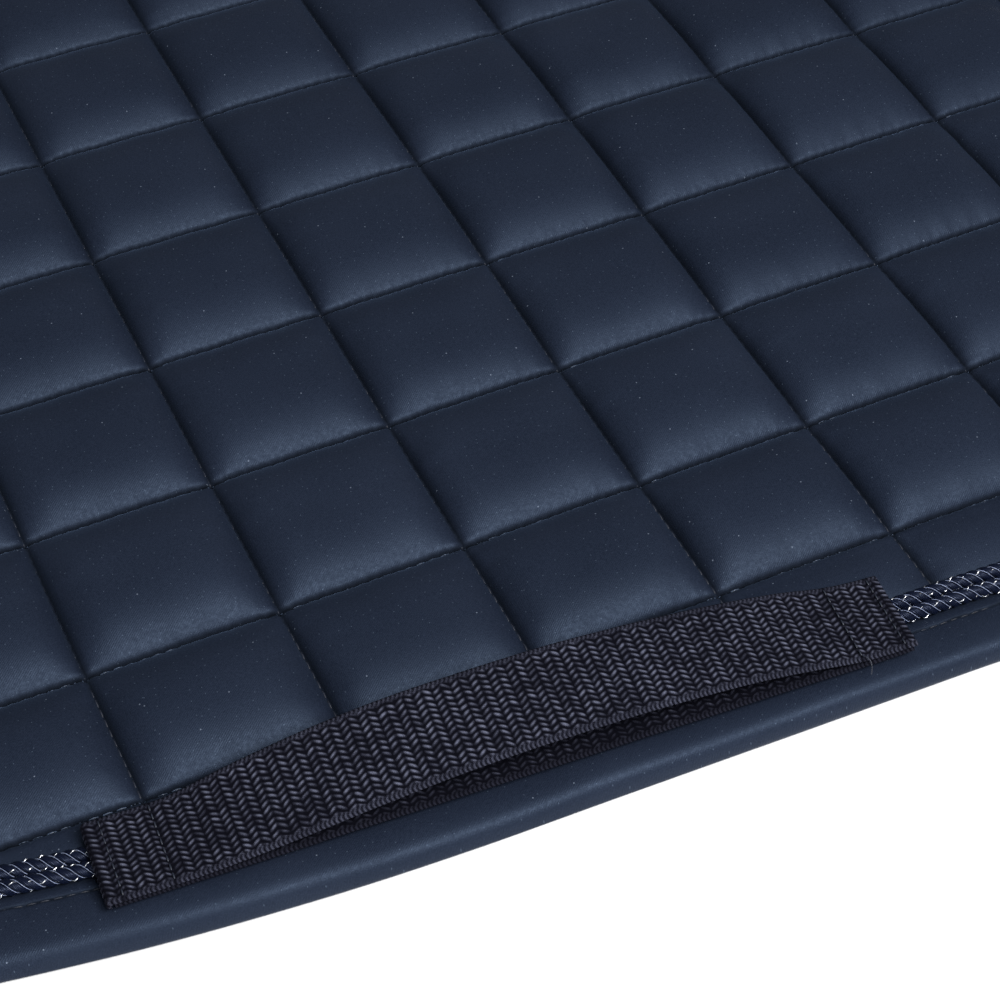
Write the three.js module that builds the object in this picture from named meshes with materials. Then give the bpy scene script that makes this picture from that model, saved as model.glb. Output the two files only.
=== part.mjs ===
// A quilted English saddle pad, lying open with its lining down, in millimetres.
// +X runs along the spine to the rear, +Y to the right flap, +Z up. The floor is Z = 0 and the spine is Y = 0.
// Each flap is a stack of lining, foam and outer shell, held by a rolled binding and trimmed with two ropes.
import * as THREE from 'three';

// ---- driving dimensions ----
const GAP = 0.3;                      // clearance between neighbouring pieces
const SPINE_GAP = 0.2;                // half the clearance between the two flaps

const LINING_THICKNESS = 1.2;
const FOAM_THICKNESS = 6.4;
const SHELL_THICKNESS = 2.6;

const ROPE_RADIUS = 2.0;
const ROPE_HEIGHT = 7.0;              // centre of both ropes above the floor
const ROPE_TO_BINDING = 0.5;          // clearance between the binding and the outer rope
const ROPE_TO_ROPE = 0.4;             // clearance between the two ropes
const BINDING_WIDTH = 17.0;
const BINDING_HEIGHT = 9.6;
const TONGUE_TOP = 4.6;               // seam allowance of the binding, which lies under the ropes

const SPINE_BAND_WIDTH = 40;
const SPINE_TAPE_WIDTH = 30;

const WEBBING_WIDTH = 25;
const WEBBING_THICKNESS = 1.2;
const STRAP_LENGTH = 217;
const STRAP_SEWN_END = 17;            // length sewn flat at each end of the girth strap
const STRAP_BOW = 11.5;               // how far the middle of the top strip stands up
const STRAP_BOW_SHARPNESS = 1.2;      // 1 is a plain cosine bow, more is narrower in the middle
const STRAP_TILT_DEG = 3.56;          // the strap follows the flap's lower edge
const STRAP_CENTRE = { x: -17, drop: 504 };

const FRONT_STRAP_LENGTH = 66;
const FRONT_STRAP_CENTRE = { x: -223, drop: 120 };
const PATCH_LENGTH = 52;
const PATCH_WIDTH = 20;
const PATCH_THICKNESS = 1.0;

const EDGE_STEPS = 52;                // straight pieces along a flap's edge
const ROPE_SIDES = 6;
const BOW_STEPS = 24;

// ---- derived dimensions ----
const FOAM_BOTTOM = LINING_THICKNESS + GAP;
const SHELL_BOTTOM = FOAM_BOTTOM + FOAM_THICKNESS + GAP;
const SHELL_TOP = SHELL_BOTTOM + SHELL_THICKNESS;
const BACKING_BOTTOM = SHELL_TOP + GAP;
const TOP_STRIP_BOTTOM = BACKING_BOTTOM + WEBBING_THICKNESS + GAP;
const OUTER_ROPE_INSET = BINDING_WIDTH + ROPE_TO_BINDING + ROPE_RADIUS;
const INNER_ROPE_INSET = OUTER_ROPE_INSET + 2 * ROPE_RADIUS + ROPE_TO_ROPE;
const TONGUE_INSET = INNER_ROPE_INSET + ROPE_RADIUS;
const PANEL_INSET = TONGUE_INSET + GAP;

// ---- colours and finishes ----
function cloth(color, roughness) {
  return new THREE.MeshStandardMaterial({ color, roughness, metalness: 0 });
}

const NAVY_SATIN = cloth(0x1f2a3a, 0.45);
const LINING_CLOTH = cloth(0x1a2230, 0.85);
const FOAM = cloth(0xd9d6cc, 0.9);
const ROPE_YARN = cloth(0x1b2740, 0.5);
const WEBBING = cloth(0x1d1e28, 0.7);
const TOUCH_FASTENER = cloth(0x15161c, 0.95);

// ---- outline of a flap: x along the spine, drop away from it ----
const OUTLINE = [
  [-286, 0], [-286, 60], [-296, 180], [-303, 300], [-294, 400], [-256, 466], [-200, 499], [-149, 511],
  [-68, 522], [0, 526.5], [100, 530], [200, 532], [262, 516], [297, 452], [302, 330], [297, 190],
  [290, 60], [290, 0],
];

class EdgeCurve extends THREE.Curve {
  // The flap's edge. side is -1 on the left flap and 1 on the right. The right flap's edge runs from rear to
  // front, so that the curve's binormal points into the flap on both.
  constructor(side) {
    super();
    this.side = side;
    const points = OUTLINE.map(([x, drop]) => new THREE.Vector3(x, side * (drop + SPINE_GAP), 0));
    if (side > 0) points.reverse();
    this.base = new THREE.CatmullRomCurve3(points);
    this.base.arcLengthDivisions = 2000;
  }

  getPoint(t, target = new THREE.Vector3()) {
    return this.base.getPointAt(THREE.MathUtils.clamp(t, 0, 1), target);
  }

  getUtoTmapping(u) {
    return u;
  }

  // The point at t, moved into the flap by inset.
  inside(t, inset) {
    const tangent = this.getTangent(t);
    return this.getPoint(t).add(new THREE.Vector3(-tangent.y, tangent.x, 0).multiplyScalar(inset));
  }
}

const EDGES = { left: new EdgeCurve(-1), right: new EdgeCurve(1) };

// ---- shared makers ----
function named(name, geometry, material) {
  const mesh = new THREE.Mesh(geometry, material);
  mesh.name = name;
  return mesh;
}

// A flat sheet of one flap: its outline moved in by inset, cut off at fromSpine, between two heights.
function flapSheet(edge, inset, fromSpine, bottom, thickness) {
  const shape = new THREE.Shape();
  for (let i = 0; i <= EDGE_STEPS; i += 1) {
    const p = edge.inside(i / EDGE_STEPS, inset);
    const y = edge.side * Math.max(Math.abs(p.y), fromSpine);
    if (i === 0) shape.moveTo(p.x, y);
    else shape.lineTo(p.x, y);
  }
  shape.closePath();
  const geometry = new THREE.ExtrudeGeometry(shape, { depth: thickness, bevelEnabled: false });
  geometry.translate(0, 0, bottom);
  return geometry;
}

// A strip that follows the flap's edge. Its section is a list of [inset, height].
function edgeStrip(edge, section) {
  const shape = new THREE.Shape(section.map(([inset, height]) => new THREE.Vector2(-height, inset)));
  return new THREE.ExtrudeGeometry(shape, { steps: EDGE_STEPS, extrudePath: edge, bevelEnabled: false });
}

function ropeSection(inset) {
  return Array.from({ length: ROPE_SIDES }, (_, i) => {
    const angle = (2 * Math.PI * (i + 0.5)) / ROPE_SIDES;
    return [inset + ROPE_RADIUS * Math.cos(angle), ROPE_HEIGHT + ROPE_RADIUS * Math.sin(angle)];
  });
}

// The rolled binding, rounded outside, with its seam allowance reaching in under the ropes.
function bindingSection() {
  const w = BINDING_WIDTH;
  const h = BINDING_HEIGHT;
  return [
    [w, 0], [0.15 * w, 0], [0, 0.35 * h], [0.04 * w, 0.68 * h], [0.22 * w, 0.95 * h], [0.5 * w, h],
    [0.85 * w, 0.9 * h], [w, 0.65 * h], [w, TONGUE_TOP], [TONGUE_INSET, TONGUE_TOP],
    [TONGUE_INSET, FOAM_BOTTOM], [w, FOAM_BOTTOM],
  ];
}

function strip(length, width, thickness, bottom) {
  const geometry = new THREE.BoxGeometry(length, width, thickness);
  geometry.translate(0, 0, bottom + thickness / 2);
  return geometry;
}

// Height of the top strip over its sewn ends, at x from the strap's middle.
function bowHeight(x) {
  const free = STRAP_LENGTH / 2 - STRAP_SEWN_END;
  const share = Math.min(Math.abs(x) / free, 1);
  return STRAP_BOW * Math.cos((share * Math.PI) / 2) ** STRAP_BOW_SHARPNESS;
}

// ---- girth strap ----
function girthStrapTop() {
  const half = STRAP_LENGTH / 2;
  const free = half - STRAP_SEWN_END;
  const along = [-half];
  for (let i = 0; i <= BOW_STEPS; i += 1) along.push(-free + (2 * free * i) / BOW_STEPS);
  along.push(half);
  const under = along.map((x) => new THREE.Vector2(x, bowHeight(x)));
  const over = along.map((x) => new THREE.Vector2(x, bowHeight(x) + WEBBING_THICKNESS)).reverse();
  const geometry = new THREE.ExtrudeGeometry(new THREE.Shape([...under, ...over]), {
    depth: WEBBING_WIDTH,
    bevelEnabled: false,
  });
  geometry.translate(0, 0, -WEBBING_WIDTH / 2);
  geometry.rotateX(Math.PI / 2);
  geometry.translate(0, 0, TOP_STRIP_BOTTOM);
  return geometry;
}

function girthStrap(prefix, side) {
  const group = new THREE.Group();
  const backing = strip(STRAP_LENGTH, WEBBING_WIDTH, WEBBING_THICKNESS, BACKING_BOTTOM);
  group.add(named(`${prefix}_girth_strap_backing`, backing, WEBBING));
  group.add(named(`${prefix}_girth_strap_top`, girthStrapTop(), WEBBING));
  group.position.set(STRAP_CENTRE.x, side * STRAP_CENTRE.drop, 0);
  group.rotation.z = side * THREE.MathUtils.degToRad(STRAP_TILT_DEG);
  return group;
}

// ---- front strap: a sewn half, a free half folded over it, and the two fastener patches between ----
function frontStrap(prefix, side) {
  const group = new THREE.Group();
  const layers = [
    ['front_strap_sewn_half', FRONT_STRAP_LENGTH, WEBBING_WIDTH, WEBBING_THICKNESS, WEBBING],
    ['front_strap_loop_patch', PATCH_LENGTH, PATCH_WIDTH, PATCH_THICKNESS, TOUCH_FASTENER],
    ['front_strap_hook_patch', PATCH_LENGTH, PATCH_WIDTH, PATCH_THICKNESS, TOUCH_FASTENER],
    ['front_strap_free_half', FRONT_STRAP_LENGTH, WEBBING_WIDTH, WEBBING_THICKNESS, WEBBING],
  ];
  let bottom = SHELL_TOP + GAP;
  for (const [name, length, width, thickness, material] of layers) {
    group.add(named(`${prefix}_${name}`, strip(length, width, thickness, bottom), material));
    bottom += thickness + GAP;
  }
  group.position.set(FRONT_STRAP_CENTRE.x, side * FRONT_STRAP_CENTRE.drop, 0);
  return group;
}

// ---- one flap ----
function flap(prefix) {
  const edge = EDGES[prefix];
  const group = new THREE.Group();
  const tapeSide = SPINE_TAPE_WIDTH / 2 + GAP;
  const liningInset = BINDING_WIDTH + GAP;
  const lining = flapSheet(edge, liningInset, tapeSide, 0, LINING_THICKNESS);
  const foam = flapSheet(edge, PANEL_INSET, SPINE_GAP, FOAM_BOTTOM, FOAM_THICKNESS);
  const shell = flapSheet(edge, PANEL_INSET, SPINE_GAP, SHELL_BOTTOM, SHELL_THICKNESS);
  group.add(named(`${prefix}_lining`, lining, LINING_CLOTH));
  group.add(named(`${prefix}_foam_filling`, foam, FOAM));
  group.add(named(`${prefix}_outer_shell`, shell, NAVY_SATIN));
  group.add(named(`${prefix}_edge_binding`, edgeStrip(edge, bindingSection()), NAVY_SATIN));
  group.add(named(`${prefix}_rope_cord_outer`, edgeStrip(edge, ropeSection(OUTER_ROPE_INSET)), ROPE_YARN));
  group.add(named(`${prefix}_rope_cord_inner`, edgeStrip(edge, ropeSection(INNER_ROPE_INSET)), ROPE_YARN));
  group.add(girthStrap(prefix, edge.side));
  group.add(frontStrap(prefix, edge.side));
  return group;
}

// ---- spine ----
const SPINE_ENDS = [OUTLINE[0][0], OUTLINE[OUTLINE.length - 1][0]];

function spineStrip(width, thickness, bottom, inset) {
  const [front, rear] = [SPINE_ENDS[0] + inset, SPINE_ENDS[1] - inset];
  const geometry = strip(rear - front, width, thickness, bottom);
  geometry.translate((front + rear) / 2, 0, 0);
  return geometry;
}

const saddlePad = new THREE.Group();
saddlePad.add(flap('left'));
saddlePad.add(flap('right'));
const band = spineStrip(SPINE_BAND_WIDTH, WEBBING_THICKNESS, SHELL_TOP + GAP, 0);
const tape = spineStrip(SPINE_TAPE_WIDTH, LINING_THICKNESS, 0, BINDING_WIDTH + GAP);
saddlePad.add(named('spine_band', band, NAVY_SATIN));
saddlePad.add(named('spine_lining_tape', tape, LINING_CLOTH));

export default saddlePad;
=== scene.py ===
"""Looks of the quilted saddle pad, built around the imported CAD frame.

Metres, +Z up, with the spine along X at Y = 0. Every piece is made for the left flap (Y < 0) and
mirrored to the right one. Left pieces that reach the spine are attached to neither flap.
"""

import math

import bpy
import numpy as np
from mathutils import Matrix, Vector
from mathutils.kdtree import KDTree


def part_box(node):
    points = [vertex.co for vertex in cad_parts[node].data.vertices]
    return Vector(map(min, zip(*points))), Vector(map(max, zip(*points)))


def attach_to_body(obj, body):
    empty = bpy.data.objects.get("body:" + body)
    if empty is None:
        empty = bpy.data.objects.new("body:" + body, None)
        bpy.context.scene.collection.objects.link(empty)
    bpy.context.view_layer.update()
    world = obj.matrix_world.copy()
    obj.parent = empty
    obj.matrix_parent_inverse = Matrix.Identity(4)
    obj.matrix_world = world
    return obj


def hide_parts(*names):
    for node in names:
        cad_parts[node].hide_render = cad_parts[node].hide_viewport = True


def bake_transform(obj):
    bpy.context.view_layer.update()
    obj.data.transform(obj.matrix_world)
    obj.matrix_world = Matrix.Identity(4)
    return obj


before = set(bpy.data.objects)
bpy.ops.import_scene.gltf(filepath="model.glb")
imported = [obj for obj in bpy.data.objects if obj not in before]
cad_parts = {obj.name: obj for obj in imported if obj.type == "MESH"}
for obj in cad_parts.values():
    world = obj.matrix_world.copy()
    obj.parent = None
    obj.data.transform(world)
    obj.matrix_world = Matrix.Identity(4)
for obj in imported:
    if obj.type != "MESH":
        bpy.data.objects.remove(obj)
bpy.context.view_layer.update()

MM = 0.001
ROOT = "right_flap"
LEFT = "left_flap"
SIDES = ("left", "right")
SPINE_GAP = 0.2 * MM            # each flap's own pieces stop this far short of the spine line

# ---- places taken from the frame ----
BINDING_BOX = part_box("left_edge_binding")
SHELL_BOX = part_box("left_outer_shell")
ROPE_BOXES = {name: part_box(f"left_rope_cord_{name}") for name in ("outer", "inner")}
BACKING_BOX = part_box("left_girth_strap_backing")
SPINE_BAND_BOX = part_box("spine_band")
SPINE_TAPE_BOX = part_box("spine_lining_tape")
FRONT_SEWN_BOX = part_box("left_front_strap_sewn_half")
FRONT_FREE_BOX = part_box("left_front_strap_free_half")
PANEL_INSET = SHELL_BOX[0].x - BINDING_BOX[0].x     # from the flap's edge to the edge of the CAD's panel

# ---- quilting ----
COLUMN = 54.0 * MM              # between sewn lines along the spine
ROW = 51.3 * MM                 # between sewn lines across the flap
FULL_ROWS = 9
LAST_ROW_SHARE = 0.87           # the row of squares next to the rim is shorter
LAST_ROW_SLANT = 0.0116         # and its line runs this much out of true
WANDER = 0.9 * MM               # slow drift of the sewn lines
STITCHES = (15, 14)             # per square, along X and along Y
STEPS_PER_STITCH = 3            # of the shell's grid
SEAM_TOP = 5.0 * MM             # height of the shell on a sewn line
PUFF_RISE = 7.0 * MM
COLUMN_FULLNESS = 6.0           # how square the puffs are from column to column, and from row to row
ROW_FULLNESS = 3.3
CREASE_MARK = 0.45 * MM         # extra grid lines lie this far to each side of a sewn line
CREASE_DEPTH = 1.0 * MM
CREASE_WIDTH = 0.8 * MM
CREASE_SHIFT = 0.15 * MM        # the crease is deepest just past the line, towards the rim and the rear
SCALLOP = 0.55 * MM             # how far the cloth bulges over the line between two stitches
SCALLOP_REACH = 1.3 * MM
PUCKER = 0.34 * MM
PUCKER_REACH = 5.5 * MM
CLOTH = 0.7 * MM
FOAM_GAP = 0.4 * MM             # between the shell cloth and the foam
FOAM_BASE = 1.1 * MM            # underside of the foam over the underside of the lining
LINING_BASE = 0.25 * MM
LINING_DIMPLE = 2.3 * MM        # how far the lining is drawn up on the sewn lines
TIGHT = 0.1 * MM                # least thickness of the foam, and least gap under it
QUILT_EDGE = 22.0 * MM          # inset of the quilt's own edge, under the ropes

# ---- the view ----
VIEW_AZIMUTH = -25.2
VIEW_ELEVATION = 47.2
VIEW_AIM = Vector((0.0164, -0.4247, 0.005))
VIEW_DISTANCE = 0.692
LENS = 89.5
SENSOR = 36
LIGHTS_AIM = Vector((0, -0.2, 0))
FLOOR_SIZE = 12
FLOOR_HEIGHT = -0.2 * MM


# ======================================================================== camera, light and floor
def direction(azimuth, elevation):
    """Unit vector from the object towards a viewer at that azimuth and elevation, in degrees."""
    a, e = math.radians(azimuth), math.radians(elevation)
    return Vector((math.sin(a) * math.cos(e), -math.cos(a) * math.cos(e), math.sin(e)))


def add_camera():
    """The camera that the picture is taken with."""
    data = bpy.data.cameras.new("camera")
    data.lens = LENS
    data.sensor_width = SENSOR
    data.clip_start, data.clip_end = 0.01, 20
    camera = bpy.data.objects.new("camera", data)
    bpy.context.scene.collection.objects.link(camera)
    back = direction(VIEW_AZIMUTH, VIEW_ELEVATION)
    camera.location = VIEW_AIM + back * VIEW_DISTANCE
    camera.rotation_mode = "QUATERNION"
    camera.rotation_quaternion = (-back).to_track_quat("-Z", "Y")
    bpy.context.scene.camera = camera


def add_softbox(name, azimuth, elevation, distance, size, power, color):
    """A rectangular light that faces the pad."""
    data = bpy.data.lights.new(name, "AREA")
    data.shape = "RECTANGLE"
    data.size, data.size_y = size
    data.energy = power
    data.color = color
    lamp = bpy.data.objects.new(name, data)
    bpy.context.scene.collection.objects.link(lamp)
    towards = direction(azimuth, elevation)
    lamp.location = LIGHTS_AIM + towards * distance
    lamp.rotation_mode = "QUATERNION"
    lamp.rotation_quaternion = (-towards).to_track_quat("-Z", "Y")


def add_stage():
    """The floor, the studio's dim surroundings and three soft lights."""
    bpy.ops.mesh.primitive_plane_add(size=FLOOR_SIZE, location=(0, 0, FLOOR_HEIGHT))
    floor = bpy.context.object
    floor.name = "floor"
    floor.data.materials.append(plain_material("floor", (0.88, 0.885, 0.89), 0.7))
    world = bpy.data.worlds.new("studio")
    world.use_nodes = True
    background = world.node_tree.nodes["Background"]
    background.inputs["Color"].default_value = (0.92, 0.95, 1.0, 1)
    background.inputs["Strength"].default_value = 0.13
    bpy.context.scene.world = world
    add_softbox("key", 14, 49, 1.9, (1.1, 0.6), 46, (1.0, 0.99, 0.98))
    add_softbox("front_low", -30, 16, 2.2, (1.6, 0.5), 8, (0.95, 0.98, 1.0))
    add_softbox("top", 60, 80, 2.4, (1.2, 1.2), 7, (0.95, 0.98, 1.0))
    bpy.context.scene.view_settings.view_transform = "Standard"


# ======================================================================== materials
class Nodes:
    """A small helper for building a node tree in few words."""

    def __init__(self, name):
        self.material = bpy.data.materials.new(name)
        self.material.use_nodes = True
        self.tree = self.material.node_tree
        self.bsdf = self.tree.nodes["Principled BSDF"]

    def add(self, kind, settings=None, **inputs):
        node = self.tree.nodes.new(kind)
        for key, value in (settings or {}).items():
            setattr(node, key, value)
        for key, value in inputs.items():
            self.put(node, key.replace("_", " "), value)
        return node

    def put(self, node, key, value):
        socket = node.inputs[int(key) if key.isdigit() else key]
        if isinstance(value, bpy.types.NodeSocket):
            self.tree.links.new(value, socket)
        else:
            socket.default_value = value

    def shade(self, **inputs):
        for key, value in inputs.items():
            self.put(self.bsdf, key.replace("_", " "), value)

    def math(self, operation, a, b=0.0, c=0.0):
        node = self.add("ShaderNodeMath", {"operation": operation})
        for index, value in enumerate((a, b, c)):
            self.put(node, str(index), value)
        return node.outputs[0]

    def ramp(self, factor, stops):
        node = self.add("ShaderNodeValToRGB", Fac=factor)
        elements = node.color_ramp.elements
        while len(elements) < len(stops):
            elements.new(0.5)
        for element, (position, color) in zip(elements, stops):
            element.position = position
            element.color = (*color, 1)
        return node.outputs["Color"]

    def attribute(self, name):
        return self.add("ShaderNodeAttribute", {"attribute_name": name}).outputs["Fac"]

    def mapped(self, rotation=(0, 0, 0)):
        place = self.add("ShaderNodeTexCoord").outputs["Object"]
        return self.add("ShaderNodeMapping", Vector=place, Rotation=rotation).outputs["Vector"]

    def noise(self, scale, detail):
        return self.add("ShaderNodeTexNoise", Vector=self.mapped(), Scale=scale, Detail=detail).outputs["Fac"]

    def blend(self, under, over, factor):
        node = self.add("ShaderNodeMix", {"data_type": "RGBA"}, Factor=factor)
        self.put(node, "6", under)
        self.put(node, "7", over)
        return node.outputs[2]

    def bump(self, height, distance, strength=1.0, normal=None):
        node = self.add("ShaderNodeBump", Height=height, Distance=distance, Strength=strength)
        if normal is not None:
            self.put(node, "Normal", normal)
        return node.outputs["Normal"]


def plain_material(name, color, roughness):
    n = Nodes(name)
    n.shade(Base_Color=(*color, 1), Roughness=roughness)
    return n.material


def specks(n, per_metre, radius, share):
    """Mask of sparse round dust specks, laid out in plan."""
    cells = n.add("ShaderNodeTexVoronoi", {"voronoi_dimensions": "2D"}, Vector=n.mapped(), Scale=per_metre)
    near = n.math("LESS_THAN", cells.outputs["Distance"], radius)
    draw = n.add("ShaderNodeSeparateColor", Color=cells.outputs["Color"]).outputs["Red"]
    chosen = n.math("LESS_THAN", draw, share)
    return n.math("MULTIPLY", near, chosen)


def satin_material(name, dark, light, roughness):
    """Fine satin: micro-twill, cloudy tone and a few pale specks. The attribute crease paints shade into the
    seams: near-black colour and full roughness there.
    """
    n = Nodes(name)
    # Painted shade: where the attribute crease is 1, the cloth goes near black and fully rough.
    clear_of_painted_shade = n.math("SUBTRACT", 1.0, n.attribute("crease"))
    tone = n.noise(26, 4)
    grain = n.noise(2600, 2)
    mixed = n.math("MULTIPLY_ADD", grain, 0.7, n.math("MULTIPLY", tone, 0.3))
    cloth = n.ramp(mixed, [(0.30, dark), (0.70, light)])
    faint = n.blend(cloth, (0.040, 0.054, 0.080, 1), specks(n, 260, 0.040, 0.6))
    dusty = n.blend(faint, (0.10, 0.12, 0.16, 1), specks(n, 90, 0.018, 0.25))
    twill = n.add(
        "ShaderNodeTexWave", {"wave_type": "BANDS", "bands_direction": "X"},
        Vector=n.mapped(rotation=(0, 0, 0.9)), Scale=620, Distortion=1.2, Detail=1.0, Detail_Scale=2.0,
    ).outputs["Fac"]
    fine = n.bump(twill, 0.00006, 0.3)
    rough = n.ramp(n.noise(900, 2), [(0.3, (roughness - 0.07,) * 3), (0.7, (roughness + 0.07,) * 3)])
    n.shade(
        Base_Color=n.blend((0.0008, 0.0010, 0.0020, 1), dusty, clear_of_painted_shade),
        Roughness=n.blend((1, 1, 1, 1), rough, clear_of_painted_shade), Normal=n.bump(grain, 0.00009, 0.6, fine),
        Sheen_Weight=0.06, Sheen_Roughness=0.35, Sheen_Tint=(0.4, 0.6, 1.0, 1),
        Specular_Tint=(0.50, 0.68, 1.0, 1), Specular_IOR_Level=0.24,
    )
    return n.material


def thread_material(name, color, roughness):
    """Twisted sewing thread."""
    n = Nodes(name)
    fibres = n.noise(3000, 2)
    tone = n.ramp(fibres, [(0.25, tuple(c * 0.5 for c in color)), (0.75, tuple(c * 1.5 for c in color))])
    n.shade(Base_Color=tone, Roughness=roughness, Normal=n.bump(fibres, 0.00008, 0.8))
    return n.material


def webbing_material():
    """Nylon webbing. The attribute relief is 0 in the grooves of the weave and 1 on top of a yarn; the colour
    follows it, with painted shade in the grooves and painted highlights on the yarn tops.
    """
    n = Nodes("webbing")
    relief = n.attribute("relief")
    fibres = n.noise(4200, 2)
    lit = n.math("MULTIPLY", relief, n.math("MULTIPLY_ADD", fibres, 0.8, 0.6))
    # Painted shade in the grooves and painted glints on the yarn tops: the colour runs from near black to
    # grey-violet with the relief.
    tone = n.ramp(lit, [
        (0.16, (0.0020, 0.0020, 0.004)), (0.45, (0.016, 0.017, 0.027)), (0.92, (0.104, 0.112, 0.160)),
    ])
    rough = n.ramp(lit, [(0.30, (0.95,) * 3), (0.85, (0.34,) * 3)])
    n.shade(
        Base_Color=tone, Roughness=rough, Specular_IOR_Level=0.08, Specular_Tint=(0.72, 0.76, 1.0, 1),
        Normal=n.bump(fibres, 0.00016, 0.9),
    )
    return n.material


def rope_material():
    """Glossy rope strands. The attribute twist counts the fibres round and along a strand."""
    n = Nodes("rope_yarn")
    fibres = n.math("SINE", n.math("MULTIPLY", n.attribute("twist"), 2 * math.pi))
    height = n.math("MULTIPLY_ADD", fibres, 0.5, 0.5)
    tone = n.ramp(height, [(0.0, (0.0008, 0.0015, 0.006)), (1.0, (0.0045, 0.0075, 0.022))])
    n.shade(
        Base_Color=tone, Roughness=0.36, Specular_IOR_Level=0.38, Specular_Tint=(0.55, 0.66, 1.0, 1),
        Normal=n.bump(height, 0.00014, 0.8),
    )
    return n.material


def silver_material():
    """Bright metal filament."""
    n = Nodes("silver_filament")
    rough = n.ramp(n.noise(1800, 2), [(0.3, (0.2,) * 3), (0.7, (0.4,) * 3)])
    n.shade(Base_Color=(0.86, 0.88, 0.92, 1), Metallic=1.0, Roughness=rough)
    return n.material


def lining_material():
    """Absorbent plain-weave lining: two crossed sets of threads."""
    n = Nodes("lining_cloth")
    warp = n.add("ShaderNodeTexWave", {"bands_direction": "X"}, Vector=n.mapped(), Scale=330, Distortion=0.6)
    weft = n.add("ShaderNodeTexWave", {"bands_direction": "Y"}, Vector=n.mapped(), Scale=330, Distortion=0.6)
    weave = n.math("MULTIPLY", warp.outputs["Fac"], weft.outputs["Fac"])
    blotch = n.math("MULTIPLY_ADD", n.noise(40, 3), 0.5, n.math("MULTIPLY", weave, 0.5))
    tone = n.ramp(blotch, [(0.15, (0.008, 0.012, 0.022)), (0.75, (0.030, 0.042, 0.066))])
    n.shade(Base_Color=tone, Roughness=0.9, Normal=n.bump(weave, 0.00025, 0.8), Sheen_Weight=0.3)
    return n.material


def foam_material():
    """Pale open-cell foam."""
    n = Nodes("foam")
    cells = n.add("ShaderNodeTexVoronoi", Vector=n.mapped(), Scale=1100).outputs["Distance"]
    tone = n.ramp(cells, [(0.0, (0.45, 0.43, 0.36)), (0.8, (0.74, 0.72, 0.64))])
    n.shade(Base_Color=tone, Roughness=0.95, Normal=n.bump(cells, 0.0004, 0.7))
    return n.material


def fastener_material(name, scale, distance):
    """Touch fastener: a dense field of loops or of hooks."""
    n = Nodes(name)
    tufts = n.add("ShaderNodeTexVoronoi", Vector=n.mapped(), Scale=scale).outputs["Distance"]
    tone = n.ramp(tufts, [(0.0, (0.010, 0.012, 0.020)), (0.7, (0.001, 0.001, 0.003))])
    n.shade(Base_Color=tone, Roughness=0.85, Normal=n.bump(tufts, distance, 1.0))
    return n.material


MATERIALS = {
    "satin": satin_material("navy_satin", (0.0060, 0.0090, 0.0180), (0.0145, 0.0200, 0.0360), 0.5),
    # One quilting thread in two copies: the rows' copy is lighter, partly its navy colour and partly painted
    # highlight; the darker copy, with painted shade, goes on the column seams and the binding's seam.
    "thread": thread_material("quilting_thread", (0.042, 0.062, 0.105), 0.45),
    "seam_thread": thread_material("seam_thread", (0.012, 0.016, 0.028), 0.5),
    "quilt_thread_painted_shade": thread_material("quilt_thread_painted_shade", (0.007, 0.010, 0.020), 0.6),
    "webbing": webbing_material(),
    "rope": rope_material(),
    "light_yarn": thread_material("light_yarn", (0.21, 0.25, 0.38), 0.35),
    "silver": silver_material(),
    "lining": lining_material(),
    "foam": foam_material(),
    "loops": fastener_material("loop_patch", 1500, 0.0006),
    "hooks": fastener_material("hook_patch", 900, 0.0005),
}


# ======================================================================== noise
LATTICE = 64
LATTICE_SHIFT = (1000.3, 1000.7)    # keeps the lattice coordinates positive and off the whole numbers


def noise2(x, y, size, seed):
    """Smooth noise from -1 to 1 with features about size across."""
    lattice = np.random.default_rng(seed).uniform(-1, 1, (LATTICE, LATTICE))
    u, v = x / size + LATTICE_SHIFT[0], y / size + LATTICE_SHIFT[1]
    i, j = np.floor(u).astype(int), np.floor(v).astype(int)
    a, b = u - i, v - j
    a, b = a * a * (3 - 2 * a), b * b * (3 - 2 * b)
    i0, i1, j0, j1 = i % LATTICE, (i + 1) % LATTICE, j % LATTICE, (j + 1) % LATTICE
    low = lattice[i0, j0] * (1 - a) + lattice[i1, j0] * a
    high = lattice[i0, j1] * (1 - a) + lattice[i1, j1] * a
    return low * (1 - b) + high * b


def smooth(t):
    """A soft step: 0 up to t = 0, 1 from t = 1."""
    t = np.clip(t, 0, 1)
    return t * t * (3 - 2 * t)


# ======================================================================== meshes
def make_mesh(name, verts, faces, material, attributes=None):
    """A smooth-shaded mesh object. faces is an (n, 3) or (n, 4) array, or a list of such arrays."""
    blocks = faces if isinstance(faces, list) else [faces]
    mesh = bpy.data.meshes.new(name)
    mesh.vertices.add(len(verts))
    mesh.vertices.foreach_set("co", np.asarray(verts, np.float32).ravel())
    corners = np.concatenate([b.ravel() for b in blocks])
    sizes = np.concatenate([np.full(len(b), b.shape[1]) for b in blocks])
    starts = np.concatenate([[0], np.cumsum(sizes)[:-1]])
    mesh.loops.add(len(corners))
    mesh.loops.foreach_set("vertex_index", corners.astype(np.int32))
    mesh.polygons.add(len(sizes))
    mesh.polygons.foreach_set("loop_start", starts.astype(np.int32))
    mesh.update(calc_edges=True)
    mesh.polygons.foreach_set("use_smooth", np.ones(len(sizes), bool))
    for key, values in (attributes or {}).items():
        layer = mesh.attributes.new(key, "FLOAT", "POINT")
        layer.data.foreach_set("value", np.asarray(values, np.float32).ravel())
    mesh.materials.append(MATERIALS[material])
    piece = bpy.data.objects.new(name, mesh)
    bpy.context.scene.collection.objects.link(piece)
    return piece


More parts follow.
